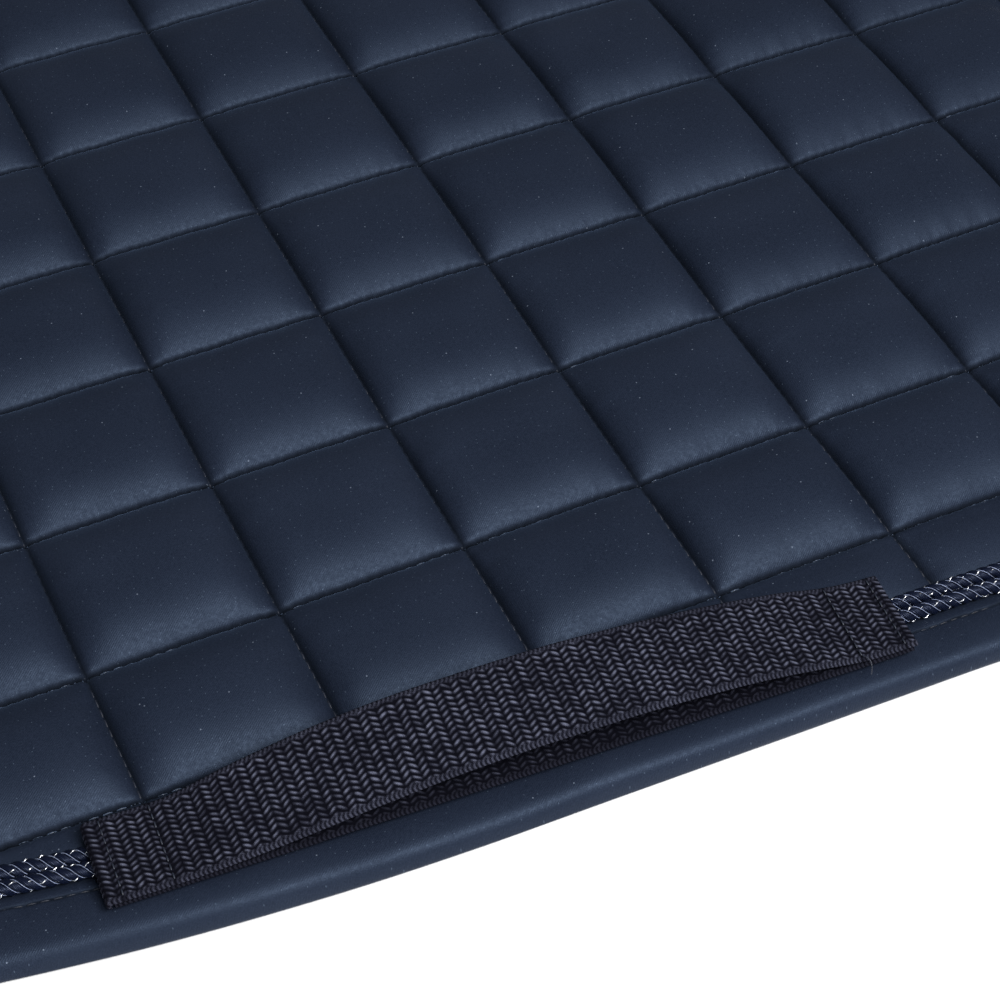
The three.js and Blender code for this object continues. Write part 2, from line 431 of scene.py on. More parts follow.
def grid_faces(rows, columns, wrap=False):
    """Quads of a grid of rows by columns vertices, closed round the columns if wrap."""
    i = np.arange(rows - 1)[:, None]
    j = np.arange(columns if wrap else columns - 1)[None, :]
    k = (j + 1) % columns
    quads = np.stack([i * columns + j, i * columns + k, (i + 1) * columns + k, (i + 1) * columns + j], -1)
    return quads.reshape(-1, 4)


def sheet_faces(x, y):
    """Upward faces of a flat grid over the marks x and y."""
    return grid_faces(len(x), len(y))[:, ::-1]


def tube(sections):
    """Closed tube through sections, an array (stations, points, 3). Returns vertices and faces."""
    stations, points = sections.shape[:2]
    ends = sections[[0, -1]].mean(1)
    verts = np.concatenate([sections.reshape(-1, 3), ends])
    sides = grid_faces(stations, points, wrap=True)
    j = np.arange(points)
    k = (j + 1) % points
    first, last = stations * points, stations * points + 1
    base = (stations - 1) * points
    caps = np.concatenate([
        np.stack([k, j, np.full(points, first)], -1),
        np.stack([base + j, base + k, np.full(points, last)], -1),
    ])
    return verts, [sides, caps]


def joined(parts):
    """Several (verts, face blocks) as one."""
    verts, blocks, count = [], [], 0
    for v, faces in parts:
        verts.append(v)
        blocks += [b + count for b in faces]
        count += len(v)
    return np.concatenate(verts), blocks


def closed_sheet(top, bottom, quads):
    """A closed solid between two sheets that share their faces."""
    used, inverse = np.unique(quads, return_inverse=True)
    quads = inverse.reshape(quads.shape)
    top, bottom = top[used], bottom[used]
    count = len(used)
    edges = np.concatenate([quads[:, [a, (a + 1) % 4]] for a in range(4)])
    key = np.sort(edges, 1)
    _, index, times = np.unique(key, axis=0, return_index=True, return_counts=True)
    rim = edges[index[times == 1]]
    walls = np.stack([rim[:, 1], rim[:, 0], rim[:, 0] + count, rim[:, 1] + count], -1)
    return np.concatenate([top, bottom]), [quads, quads[:, ::-1] + count, walls], used


def layer_between(place, top, bottom, quads):
    """A closed solid between two heights over the same places in plan."""
    return closed_sheet(np.column_stack([place, top]), np.column_stack([place, bottom]), quads)


def mirrored(verts, blocks):
    """The same piece on the other flap."""
    return verts * [1, -1, 1], [b[:, ::-1] for b in blocks]


def attach(piece, side, crosses_spine):
    """Right pieces ride on the right flap. Left ones ride on the left flap, or stay unattached where they
    cross the spine.
    """
    if side == "right":
        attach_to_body(piece, ROOT)
    elif crosses_spine:
        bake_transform(piece)
    else:
        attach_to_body(piece, LEFT)


def both_flaps(name, verts, blocks, material, stands_for=None, crosses_spine=True, attributes=None):
    """Makes left_name and its mirror image right_name. stands_for is the CAD node that they replace."""
    made = {}
    for side in SIDES:
        v, b = (verts, blocks) if side == "left" else mirrored(verts, blocks)
        piece = make_mesh(f"{side}_{name}", v, b, material, attributes)
        attach(piece, side, crosses_spine)
        if stands_for:
            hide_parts(f"{side}_{stands_for}")
        made[side] = piece
    return made


# ======================================================================== the flap's edge
def corners_of(node, digits):
    """Corners of a CAD node in plan, rounded to that many digits."""
    places = np.array([vertex.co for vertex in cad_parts[node].data.vertices])
    return places, np.unique(np.round(places[:, :2], digits), axis=0)


def outline_from_frame():
    """The flap's outer edge as points and inward normals 1 mm apart, from the corners of the CAD shell."""
    _, corners = corners_of("left_outer_shell", 6)
    away = corners - corners.mean(0)
    order = np.argsort((np.arctan2(away[:, 1], away[:, 0]) - math.pi / 2) % (2 * math.pi))
    dense = catmull_rom(corners[order], 60)
    lengths = np.concatenate([[0], np.cumsum(np.linalg.norm(np.diff(dense, axis=0), axis=1))])
    s = np.arange(0, lengths[-1], 1 * MM)
    points = np.stack([np.interp(s, lengths, dense[:, a]) for a in (0, 1)], -1)
    tangents = np.gradient(points, axis=0)
    tangents /= np.linalg.norm(tangents, axis=1, keepdims=True)
    window = 13
    kernel = np.hanning(window) / np.hanning(window).sum()
    padded = np.pad(tangents, ((window // 2,) * 2, (0, 0)), mode="edge")
    tangents = np.stack([np.convolve(padded[:, a], kernel, "valid") for a in (0, 1)], -1)
    tangents /= np.linalg.norm(tangents, axis=1, keepdims=True)
    inward = np.stack([-tangents[:, 1], tangents[:, 0]], -1)
    return points - inward * PANEL_INSET, inward, s


def catmull_rom(points, steps):
    """A smooth line through all the points."""
    p = np.concatenate([[2 * points[0] - points[1]], points, [2 * points[-1] - points[-2]]])
    t = np.linspace(0, 1, steps, endpoint=False)[:, None]
    parts = []
    for a, b, c, d in zip(p[:-3], p[1:-2], p[2:-1], p[3:]):
        square = (2 * a - 5 * b + 4 * c - d) * t**2
        cube = (3 * b - a - 3 * c + d) * t**3
        parts.append(0.5 * (2 * b + (c - a) * t + square + cube))
    return np.concatenate([*parts, points[-1:]])


EDGE, INWARD, ALONG = outline_from_frame()
EDGE_LENGTH = ALONG[-1]


def edge_at(s):
    """Edge points and inward normals at distances s along the edge."""
    points = np.stack([np.interp(s, ALONG, EDGE[:, a]) for a in (0, 1)], -1)
    normals = np.stack([np.interp(s, ALONG, INWARD[:, a]) for a in (0, 1)], -1)
    return points, normals / np.linalg.norm(normals, axis=1, keepdims=True)


def on_edge(s, inset, height):
    """Points at inset and height from the edge, for arrays (stations, points)."""
    points, normals = edge_at(s)
    flat = points[:, None, :] + normals[:, None, :] * inset[..., None]
    flat[..., 1] = np.minimum(flat[..., 1], -SPINE_GAP)
    return np.concatenate([flat, height[..., None]], -1)


def nearest_of(points, places):
    """Index of the place nearest to each point, in plan."""
    tree = KDTree(len(places))
    for index, (x, y) in enumerate(places):
        tree.insert((x, y, 0), index)
    tree.balance()
    return np.array([tree.find((x, y, 0))[1] for x, y in points])


def inset_of(points):
    """How far inside the outer edge each point lies, and the inward normal there."""
    nearest = nearest_of(points, EDGE)
    return ((points - EDGE[nearest]) * INWARD[nearest]).sum(1), INWARD[nearest]


# ======================================================================== quilted layers
COLUMNS = COLUMN * np.arange(-5, 6)
ROWS = -ROW * (np.arange(FULL_ROWS) + 0.5)
ROWS = np.append(ROWS, ROWS[-1] - LAST_ROW_SHARE * ROW)


def grid_marks(lines, low, high, steps):
    """Grid marks from low to high: equal steps between sewn lines, and one close to each side of them."""
    ends = np.array([low, *sorted(lines), high])
    parts = []
    for a, b in zip(ends, ends[1:]):
        count = max(1, round((b - a) / (COLUMN / steps)))
        parts.append(a + (b - a) * np.arange(count) / count)
    sides = np.concatenate([lines - CREASE_MARK, lines + CREASE_MARK])
    return np.sort(np.concatenate([*parts, [high], sides[(sides > low) & (sides < high)]]))


def wander(x, y):
    """The slow drift of the sewn lines, and the slant of the last row, as sideways shifts in metres."""
    last = smooth((-y - FULL_ROWS * ROW + ROW / 2) / (LAST_ROW_SHARE * ROW))
    return WANDER * noise2(x, y, 0.11, 11), WANDER * noise2(x, y, 0.13, 12) - LAST_ROW_SLANT * x * last


def rise(distance, half, fullness):
    """Share of the full puff at a distance from a sewn line, with half the cell's width."""
    t = np.clip(distance / half, 0, 1)
    return 1 - (1 - t) ** fullness


def pressed(x, y):
    """How much the quilt is held down, from 0 to 1, under the spine band and the sewn front straps."""
    band = 1 - smooth((np.abs(y) - SPINE_BAND_BOX[1].y + 2 * MM) / (5 * MM))
    low, high = FRONT_SEWN_BOX
    outside = np.maximum(np.maximum(low.x - x, x - high.x), np.maximum(low.y - y, y - high.y))
    return np.maximum(band, 1 - smooth((outside + 1 * MM) / (7 * MM)))


def nearest_line(values, lines):
    """Signed distance of each value from its nearest line."""
    gaps = values[:, None] - lines
    return gaps[np.arange(len(values)), np.abs(gaps).argmin(1)]


def puff_share(x, y, inset):
    """Share of the full puff, 0 on the sewn lines and at the edge, and how far past each line it is."""
    past_column, past_row = nearest_line(x, COLUMNS), -nearest_line(y, ROWS)
    from_edge = np.minimum(inset - QUILT_EDGE, -y + 1 * MM)
    share = rise(np.abs(past_column), COLUMN / 2, COLUMN_FULLNESS)
    share *= rise(np.abs(past_row), ROW / 2, ROW_FULLNESS)
    share *= rise(from_edge, ROW / 2, ROW_FULLNESS)
    beyond_last = 1 - 0.35 * smooth((ROWS[-1] - y) / (5 * MM))
    return share * beyond_last, past_column, past_row


def seam_relief(past, along, per_square, square, seed):
    """Height added next to a sewn line: the tight crease, the scallops between stitches and the puckers."""
    pitch = square / per_square
    distance = np.abs(past)
    crease = -CREASE_DEPTH * np.exp(-(((past - CREASE_SHIFT) / CREASE_WIDTH) ** 2))
    uneven = 1 + 0.35 * noise2(along, distance * 0, 5 * MM, seed + 9)
    scallop = SCALLOP * uneven * np.abs(np.sin(math.pi * along / pitch)) * np.exp(-distance / SCALLOP_REACH)
    pucker = noise2(along, distance * 0.25, 4.2 * MM, seed)
    pucker = pucker + 0.7 * noise2(along, distance * 0.4, 9 * MM, seed + 5)
    spread = np.exp(-distance / PUCKER_REACH) * (1 - np.exp(-distance / (1.2 * MM)))
    return crease + scallop + PUCKER * spread * pucker


def seam_shade(past_column, past_row):
    """Painted seam shade, from 0 to 1, by how deep in a seam each place lies. It is deepest just past the
    stitches.
    """
    by_column = 0.8 * np.exp(-(((past_column - 0.35 * MM) / (0.75 * MM)) ** 2))
    by_row = np.exp(-(((past_row - 0.20 * MM) / (0.85 * MM)) ** 4))
    return np.maximum(by_column, by_row)


def held_down(top, hold, inset):
    """The shell's height where the spine band and the sewn front straps press it to a flat, packed layer."""
    under_band = SPINE_BAND_BOX[0].z - 0.5 * MM
    packed = smooth((inset - QUILT_EDGE - 2 * MM) / (10 * MM))
    held = np.minimum(top, under_band)
    return top * (1 - hold) + (held + (under_band - held) * packed) * hold


def lining_height(share, y):
    """Underside of the lining: drawn up on the sewn lines, and lying over the spine tape."""
    lining = LINING_DIMPLE * (1 - share**0.8) + LINING_BASE
    over_tape = 1 - smooth((-y - SPINE_TAPE_BOX[1].y - 1 * MM) / (6 * MM))
    return lining + np.maximum(SPINE_TAPE_BOX[1].z + 0.4 * MM - lining, 0) * over_tape


def quilt(stitch_steps):
    """The quilt as a grid: places, heights of shell and lining, painted seam shade, and faces."""
    x = grid_marks(COLUMNS, BINDING_BOX[0].x, BINDING_BOX[1].x, STITCHES[0] * stitch_steps)
    y = grid_marks(ROWS, BINDING_BOX[0].y, -SPINE_GAP, STITCHES[1] * stitch_steps * COLUMN / ROW)
    gx, gy = (a.ravel() for a in np.meshgrid(x, y, indexing="ij"))
    dx, dy = wander(gx, gy)
    inset, normal = inset_of(np.stack([gx + dx, gy + dy], -1))
    share, past_column, past_row = puff_share(gx, gy, inset)
    uneven = 1 + 0.10 * noise2(gx, gy, 0.06, 21) + 0.05 * noise2(gx, gy, 0.021, 22)
    top = SEAM_TOP + PUFF_RISE * share * uneven
    top += seam_relief(past_column, gy - ROWS[0], STITCHES[1], ROW, 31)
    top += seam_relief(past_row, gx, STITCHES[0], COLUMN, 32)
    hold = pressed(gx, gy)
    top = held_down(top, hold, inset)
    # Painted shade in the seams, left off where the quilt is held down.
    painted_seam_shade = seam_shade(past_column, past_row) * (1 - hold)
    quads = sheet_faces(x, y)
    keep = inset[quads].mean(1) > QUILT_EDGE + 0.4 * MM
    rim = np.zeros(len(gx), bool)
    rim[np.intersect1d(quads[keep], quads[~keep])] = True
    place = np.stack([gx + dx, gy + dy], -1)
    place[:, 1] = np.minimum(place[:, 1], -SPINE_GAP)
    place[rim] -= normal[rim] * (inset[rim] - QUILT_EDGE)[:, None]
    return place, top, lining_height(share, gy), painted_seam_shade, quads[keep]


def build_quilt():
    """The shell on a fine grid, foam and lining on a coarser one. Returns the shell's places and heights."""
    shell_place, shell_top, _, painted_seam_shade, quads = quilt(STEPS_PER_STITCH)
    verts, blocks, used = layer_between(shell_place, shell_top, shell_top - CLOTH, quads)
    # The painted seam shade goes on the shell's outer face only.
    crease = np.concatenate([painted_seam_shade[used], 0 * painted_seam_shade[used]])
    shells = both_flaps("shell_cloth", verts, blocks, "satin", "outer_shell", attributes={"crease": crease})
    place, top, lining, _, quads = quilt(1)
    foam_top = top - CLOTH - FOAM_GAP
    foam_bottom = np.minimum(lining + FOAM_BASE, foam_top - TIGHT)
    verts, blocks, _ = layer_between(place, foam_top, foam_bottom, quads)
    foams = both_flaps("foam_layer", verts, blocks, "foam", "foam_filling")
    lining_top = np.minimum(lining + CLOTH, foam_bottom - TIGHT)
    verts, blocks, _ = layer_between(place, lining_top, lining, quads)
    linings = both_flaps("lining_cloth", verts, blocks, "lining", "lining")
    return shell_place, shell_top


STITCH_PROFILE = [(0.0, 0.45), (0.12, 0.9), (0.5, 1.0), (0.88, 0.9), (1.0, 0.45)]   # along, radius
STITCH_SIDES = 6


def capsule_rows(starts, ends, lift, radius):
    """Small rounded stitches between two lists of points, as one mesh."""
    axis = ends - starts
    axis /= np.linalg.norm(axis, axis=1, keepdims=True)
    side = np.cross(axis, [0, 0, 1.0])
    side /= np.linalg.norm(side, axis=1, keepdims=True)
    up = np.cross(side, axis)
    angles = np.arange(STITCH_SIDES) * 2 * math.pi / STITCH_SIDES
    circle = side[:, None] * np.cos(angles)[:, None] + up[:, None] * np.sin(angles)[:, None]
    rings = []
    for share, width in STITCH_PROFILE:
        centre = starts + (ends - starts) * share + up * lift * math.sin(math.pi * share)
        rings.append(centre[:, None] + radius * width * circle)
    sections = np.stack(rings, 1)
    count = len(sections)
    one_verts, one_faces = tube(sections[0])
    per = len(one_verts)
    tips = sections[:, [0, -1]].mean(2)
    verts = np.concatenate([sections.reshape(count, -1, 3), tips], 1).reshape(-1, 3)
    first = per * np.arange(count)[:, None, None]
    blocks = [(b[None, :, ::-1] + first).reshape(-1, b.shape[1]) for b in one_faces]
    return verts, blocks


QUILT_STITCH = (0.12, 0.86)     # where a stitch starts and ends, as shares of the pitch


def build_quilting_stitches(name, lines, across, lift, material, place, top):
    """Thread dashes along sewn lines, those across the flap (columns) or along it (rows), inside its edge."""
    low, high, first, square, count = (
        (BINDING_BOX[0].y, 0.0, ROWS[0], ROW, STITCHES[1]) if across
        else (BINDING_BOX[0].x, BINDING_BOX[1].x, 0.0, COLUMN, STITCHES[0])
    )
    pitch = square / count
    s = first + pitch * np.arange(math.ceil((low - first) / pitch), math.floor((high - first) / pitch))
    ends = []
    for share in QUILT_STITCH:
        along, fixed = np.tile(s + share * pitch, len(lines)), np.repeat(lines, len(s))
        flat = np.stack([fixed, along] if across else [along, fixed], -1)
        ends.append(flat + np.stack(wander(flat[:, 0], flat[:, 1]), -1))
    inside = inset_of((ends[0] + ends[1]) / 2)[0] > QUILT_EDGE + 5 * MM
    inside &= np.abs(ends[0][:, 1]) > SPINE_BAND_BOX[1].y
    ends = [flat[inside] for flat in ends]
    sink = 0.12 * MM * noise2(ends[0][:, 0], ends[0][:, 1], 0.004, 71)
    ends = [np.column_stack([flat, top[nearest_of(flat, place)] + lift + sink]) for flat in ends]
    verts, blocks = capsule_rows(*ends, 0.25 * MM, 0.27 * MM)
    both_flaps(name, verts, blocks, material)


# ======================================================================== binding and ropes
SEAM_INSET = 14.8 * MM          # the stitch line of the binding, just outside the ropes
STITCH_HEIGHT = 5.15 * MM
BINDING_PITCH = 3.2 * MM        # of its stitches
BINDING_STITCH = 2.3 * MM       # length of one
BINDING_SPREAD = 2.9 * MM       # how much wider than the CAD's the roll lies, at most
SPREAD_START = 45 * MM          # x where the roll starts to widen
SPREAD_LENGTH = 175 * MM
BINDING_STEP = 1.6 * MM


def binding_section():
    """Cross-section, (inset, height), from under the ropes over the stitch line, round the roll and back."""
    return np.array([
        [21.5, 3.6], [19.5, 4.3], [18.2, 4.9], [17.2, 5.3], [16.0, 5.6], [15.2, 5.6],
        [14.8, 5.2], [14.3, 5.5], [13.0, 5.85], [11.2, 6.25], [9.2, 6.55], [7.0, 6.7],
        [5.0, 6.65], [3.6, 6.4], [2.4, 5.8], [1.4, 4.7], [0.7, 3.2], [0.3, 1.6],
        [0.7, 0.6], [2.2, 0.25], [5.0, 0.15], [12.0, 0.15], [20.0, 0.3], [21.5, 1.8],
    ]) * MM


def build_binding():
    """The rolled edge: uneven along its length, puckered and creased at the stitch line, with painted shade
    in that crease.
    """
    s = np.arange(0, EDGE_LENGTH, BINDING_STEP)
    section = catmull_rom(binding_section(), 3)
    inset = np.repeat(section[None, :, 0], len(s), 0)
    height = np.repeat(section[None, :, 1], len(s), 0)
    station = np.repeat(s[:, None], len(section), 1)
    round_it = np.repeat(np.linspace(0, 1, len(section))[None], len(s), 0)
    outer = smooth((18 * MM - inset) / (10 * MM)) * smooth((height - 0.4 * MM) / (2 * MM))
    edge_x = edge_at(s)[0][:, 0]
    spread = BINDING_SPREAD * smooth((SPREAD_START - edge_x) / SPREAD_LENGTH)[:, None]
    inset = inset - np.clip(1 - inset / (14 * MM), 0, 1) * spread
    inset = inset + outer * (0.5 * MM * noise2(station, round_it * 0.01, 0.045, 41))
    height = height + outer * (0.45 * MM * noise2(station, round_it * 0.02, 0.030, 42))
    near_seam = np.exp(-np.abs(inset - SEAM_INSET) / (1.7 * MM)) * (height > 4.5 * MM)
    height = height + near_seam * 0.45 * MM * noise2(station, round_it * 0.004, 4.2 * MM, 43)
    # Painted shade along the crease at the stitch line, carried to the satin by the attribute crease.
    crease = 0.95 * np.exp(-(((inset - SEAM_INSET) / (0.5 * MM)) ** 2)) * (height > 4 * MM)
    crease *= 0.75 + 0.25 * noise2(station, round_it * 0.004, 2.4 * MM, 44)
    verts, blocks = tube(on_edge(s, inset, height))
    crease = np.append(crease.ravel(), [0, 0])
    both_flaps("binding_cloth", verts, blocks, "satin", "edge_binding", attributes={"crease": crease})


def build_binding_stitches():
    """The binding's seam, one row of stitches along the whole edge."""
    s = np.arange(2 * MM, EDGE_LENGTH - 4 * MM, BINDING_PITCH)
    inset, height = np.full((len(s), 1), SEAM_INSET), np.full((len(s), 1), STITCH_HEIGHT)
    starts, ends = (on_edge(place, inset, height)[:, 0] for place in (s, s + BINDING_STITCH))
    verts, blocks = capsule_rows(starts, ends, 0.2 * MM, 0.2 * MM)
    both_flaps("binding_stitches", verts, blocks, "quilt_thread_painted_shade")


STRAND_COUNT = 3
STRAND_PITCH = 9.6 * MM
STRAND_RADIUS = 1.15 * MM
STRAND_ORBIT = 1.1 * MM
GROOVE_RADIUS = 1.75 * MM       # how far from the rope's middle the light yarn lies in the grooves
GROOVE_YARN = 0.13 * MM         # radius
FILAMENT_PITCH = 6.1 * MM
FILAMENT_RADIUS = 0.20 * MM
DASH_PITCH = 4.3 * MM           # how often a silver filament comes to the surface
FIBRE_PITCH = 0.9 * MM          # of the fine fibres of a strand
ROPE_STEP = 0.6 * MM
STRAND_SIDES = 10
YARN_SIDES = 5


def build_rope(name, phase):
    """One laid rope: three strands, a light yarn in each groove and silver filaments wound the other way."""
    box = ROPE_BOXES[name]
    inset = box[0].x - BINDING_BOX[0].x + (box[1].z - box[0].z) / 2
    centre = (box[0].z + box[1].z) / 2 + 0.1 * MM
    s = np.arange(0, EDGE_LENGTH, ROPE_STEP)

    def strand_tube(ci, ch, radius, sides):
        around = np.arange(sides) * 2 * math.pi / sides
        return tube(on_edge(s, ci[:, None] + radius * np.cos(around), ch[:, None] + radius * np.sin(around)))

    strands, twists, grooves, filaments = [], [], [], []
    for k in range(STRAND_COUNT):
        turn = 2 * math.pi * (s / STRAND_PITCH + k / STRAND_COUNT) + phase
        ci = inset + STRAND_ORBIT * np.cos(turn)
        ch = centre + STRAND_ORBIT * np.sin(turn)
        strands.append(strand_tube(ci, ch, STRAND_RADIUS, STRAND_SIDES))
        twist = s[:, None] / FIBRE_PITCH + np.abs(np.arange(STRAND_SIDES) - STRAND_SIDES / 2) * 1.1
        twists.append(np.concatenate([twist.ravel(), [0, 0]]))
        between = turn + math.pi / STRAND_COUNT
        gi, gh = inset + GROOVE_RADIUS * np.cos(between), centre + GROOVE_RADIUS * np.sin(between)
        grooves.append(strand_tube(gi, gh, GROOVE_YARN, YARN_SIDES))
        back = -2 * math.pi * s / FILAMENT_PITCH + 2.1 * k + 1.7 * phase
        surfacing = smooth(0.9 + 1.4 * np.sin(2 * math.pi * s / DASH_PITCH + 2.6 * k + phase))
        reach = STRAND_RADIUS * (0.80 + 0.24 * surfacing)
        fi, fh = ci + reach * np.cos(back), ch + reach * np.sin(back)
        filaments.append(strand_tube(fi, fh, FILAMENT_RADIUS, YARN_SIDES))
    twist = np.concatenate(twists)
    both_flaps(f"rope_strands_{name}", *joined(strands), "rope", f"rope_cord_{name}",
               attributes={"twist": twist})
    both_flaps(f"rope_groove_yarn_{name}", *joined(grooves), "light_yarn")
    both_flaps(f"rope_filaments_{name}", *joined(filaments), "silver")


# ======================================================================== webbing
RIB = 2.45 * MM                 # width of one slanted rib of the herringbone, along the strap
TOOTH = 1.6 * MM                # yarn spacing across the strap
WEB_STEP = 0.32 * MM
WEB_WIDTH = 25.0 * MM
WEB_THICK = 1.3 * MM
WEB_RELIEF = 0.42 * MM          # height of the yarns on the upper side
SELVEDGE = 1.9 * MM


def herringbone(u, v):
    """Relief from 0 to 1 of the weave at u along and v across the strap."""
    rib = np.floor(u / RIB)
    across = u / RIB - rib
    slant = np.where(rib % 2 == 0, across, 1 - across)
    wobble = 0.10 * noise2(u, v, 1.9 * MM, 53)
    phase = v / TOOTH + 0.85 * slant + 0.12 * np.sin(rib * 2.4) + wobble
    yarn = np.abs(np.sin(math.pi * phase)) ** 1.7
    groove = np.clip(np.sin(math.pi * across), 0, 1) ** 0.7
    weave = yarn * (0.15 + 0.85 * groove) * (0.85 + 0.3 * noise2(u, v, 1.3 * MM, 54))
    selvedge = smooth((np.abs(v) - (WEB_WIDTH / 2 - SELVEDGE)) / (0.7 * MM))
    loops = 0.62 * np.abs(np.sin(math.pi * u / (1.2 * MM) + 0.9 * np.sin(v / (0.4 * MM)))) ** 0.9
    return np.clip(weave, 0, 1) * (1 - selvedge) + loops * selvedge


def webbing_strip(length, centre_line, step=WEB_STEP, sewn=()):
    """A closed strip of webbing in its own frame, and how high each vertex lies in the weave, from 0 to 1.

    X runs along the strip and Y across it. centre_line gives (x, z, angle) at u along and v across.
    """
    u = np.linspace(-length / 2, length / 2, int(length / step) + 1)
    v = np.linspace(-WEB_WIDTH / 2, WEB_WIDTH / 2, int(WEB_WIDTH / step) + 1)
    uu, vv = np.meshgrid(u, v, indexing="ij")
    weave = herringbone(uu, vv) * (0.92 + 0.08 * noise2(uu, vv, 8 * MM, 51))
    for mark in sewn:
        weave = weave * (1 - 0.55 * np.exp(-(((uu - mark) / (0.55 * MM)) ** 2)))
    edge = 1 - smooth((np.abs(vv) - (WEB_WIDTH / 2 - 0.7 * MM)) / (0.7 * MM))
    x, z, angle = centre_line(uu, vv)
    z = z + 0.25 * MM * noise2(uu, vv, 20 * MM, 52)
    half = WEB_THICK / 2 * (0.35 + 0.65 * edge)
    shells = []
    for sign, amount in ((1, WEB_RELIEF), (-1, WEB_RELIEF * 0.6)):
        lift = sign * (half + amount * weave * (0.4 + 0.6 * edge) - amount * 0.5)
        shells.append(np.stack([x - lift * np.sin(angle), vv, z + lift * np.cos(angle)], -1).reshape(-1, 3))
    verts, blocks, used = closed_sheet(shells[0], shells[1], sheet_faces(u, v))
    value = weave.ravel()[used]
    return verts, blocks, np.concatenate([value, value])


def strap_frame():
    """Middle, length and tilt of the girth strap, from the CAD backing."""
    low, high = BACKING_BOX
    places, corners = corners_of("left_girth_strap_backing", 5)
    end = places[np.argmin(places[:, 1])][:2] - places[np.argmax(places[:, 0])][:2]
    tilt = math.atan2(end[0], -end[1]) if abs(end[1]) > abs(end[0]) else math.atan2(end[1], end[0])
    middle = (low + high) / 2
    spans = np.linalg.norm(corners[:, None] - corners[None], axis=-1)
    length = math.sqrt(spans.max() ** 2 - WEB_WIDTH**2)
    return middle, length, tilt


def placed(verts, middle, tilt, height, lean=0.0):
    """Leans a strip about its long axis, turns it by tilt about Z and puts it at middle and height."""
    x, y, z = verts[:, 0], verts[:, 1], verts[:, 2]
    z = z + y * math.sin(math.radians(lean))
    c, s = math.cos(tilt), math.sin(tilt)
    return np.stack([x * c - y * s, x * s + y * c, z], -1) + [middle.x, middle.y, height]


STRAP_HEIGHT = 10.1 * MM        # middle of the backing's thickness
STRAP_LEAN = 2.0                # degrees: the strap leans over the ropes, down onto the binding
LAYER = WEB_THICK + 0.2 * MM    # from the middle of one layer of the strap to the next
# Share along the strap from its front end, and how far the top strip's inner and outer edges stand up, in mm.
STRAP_BOW = [
    (0.00, 0.0, 0.0), (0.07, 0.0, 0.0), (0.11, 1.2, 0.2), (0.17, 5.2, 1.4), (0.25, 9.2, 3.4),
    (0.33, 11.8, 5.8), (0.42, 13.2, 7.9), (0.52, 13.6, 8.9), (0.65, 12.4, 8.6), (0.77, 9.4, 6.8),
    (0.86, 5.8, 3.7), (0.92, 2.3, 1.2), (0.96, 0.8, 0.4), (1.00, 0.3, 0.2),
]
END_STITCHES = (3.2 * MM, 16.0 * MM)    # how far from each end the strap is sewn down
STRAP_STITCH = 2.6 * MM         # pitch of those stitches
STITCH_MARGIN = 1.2 * MM        # from the strap's edge to its first stitch
BACKING_PAINTED_SHADE = 0.62                   # painted shade: the backing's colour is darkened all over, for the shade of the top strip above it


def build_girth_strap():
    """The backing strip, and the top strip, which folds round the backing's front end and bows up."""
    middle, length, tilt = strap_frame()
    marks = [sign * (length / 2 - inset) for sign in (-1, 1) for inset in END_STITCHES]
    bend = LAYER / 2
    arc = math.pi * bend
    bow = catmull_rom(np.array(STRAP_BOW), 8)

    def flat(u, v):
        return u, np.zeros_like(u), np.zeros_like(u)

    def standing(share, v):
        """Height of the top strip above its sewn ends."""
        inner, outer = (np.interp(share, bow[:, 0], bow[:, column] * MM) for column in (1, 2))
        return outer + (inner - outer) * (v / WEB_WIDTH + 0.5)

    def bowed(u, v):
        """The strip's middle line: u runs from the fold, on the backing, to the top strip's rear end."""
        top = u - arc / 2
        along = np.maximum(top, -length / 2)
        height = standing((along + length / 2) / length, v)
        slope = np.gradient(height, u[:, 0], axis=0)
        turned = np.clip((-length / 2 - top) / bend, 0, math.pi)
        x = along - bend * np.sin(turned)
        return x, height - bend * (1 - np.cos(turned)), np.arctan(slope) + turned

    verts, blocks, relief = webbing_strip(length - 2 * bend, flat)
    verts = placed(verts, middle, tilt, STRAP_HEIGHT, STRAP_LEAN)
    # The backing's relief attribute is scaled down here: painted shade from the top strip.
    both_flaps("girth_strap_lower_webbing", verts, blocks, "webbing", "girth_strap_backing",
               crosses_spine=False, attributes={"relief": BACKING_PAINTED_SHADE * relief})
    verts, blocks, relief = webbing_strip(length + arc, bowed, sewn=[m + arc / 2 for m in marks])
    verts = placed(verts, middle, tilt, STRAP_HEIGHT + LAYER, STRAP_LEAN)
    both_flaps("girth_strap_upper_webbing", verts, blocks, "webbing", "girth_strap_top",
               crosses_spine=False, attributes={"relief": relief})

    def on_strap(m, v):
        """Points on the top strip's surface, at m along it and v across it."""
        surface = STRAP_HEIGHT + LAYER + WEB_THICK / 2
        return np.column_stack([np.full_like(v, m), v, surface + standing(0.5 + m / length, v)])

    build_strap_stitches(marks, on_strap, middle, tilt)
    edge = np.array([STITCH_MARGIN - WEB_WIDTH / 2])
    build_thread_tail(on_strap(marks[-1], edge) + [0, 0, 0.2 * MM], middle, tilt)


def build_strap_stitches(marks, on_strap, middle, tilt):
    """Rows of stitches across the girth strap, one at each mark along it."""
    v = np.arange(STITCH_MARGIN - WEB_WIDTH / 2, WEB_WIDTH / 2 - 2 * STITCH_MARGIN, STRAP_STITCH)
    ends = []
    for across in (v, v + 0.72 * STRAP_STITCH):
        line = np.concatenate([on_strap(m, across) for m in marks])
        ends.append(placed(line, middle, tilt, 0, STRAP_LEAN))
    verts, blocks = capsule_rows(*ends, 0.15 * MM, 0.26 * MM)
    both_flaps("girth_strap_stitches", verts, blocks, "seam_thread", crosses_spine=False)


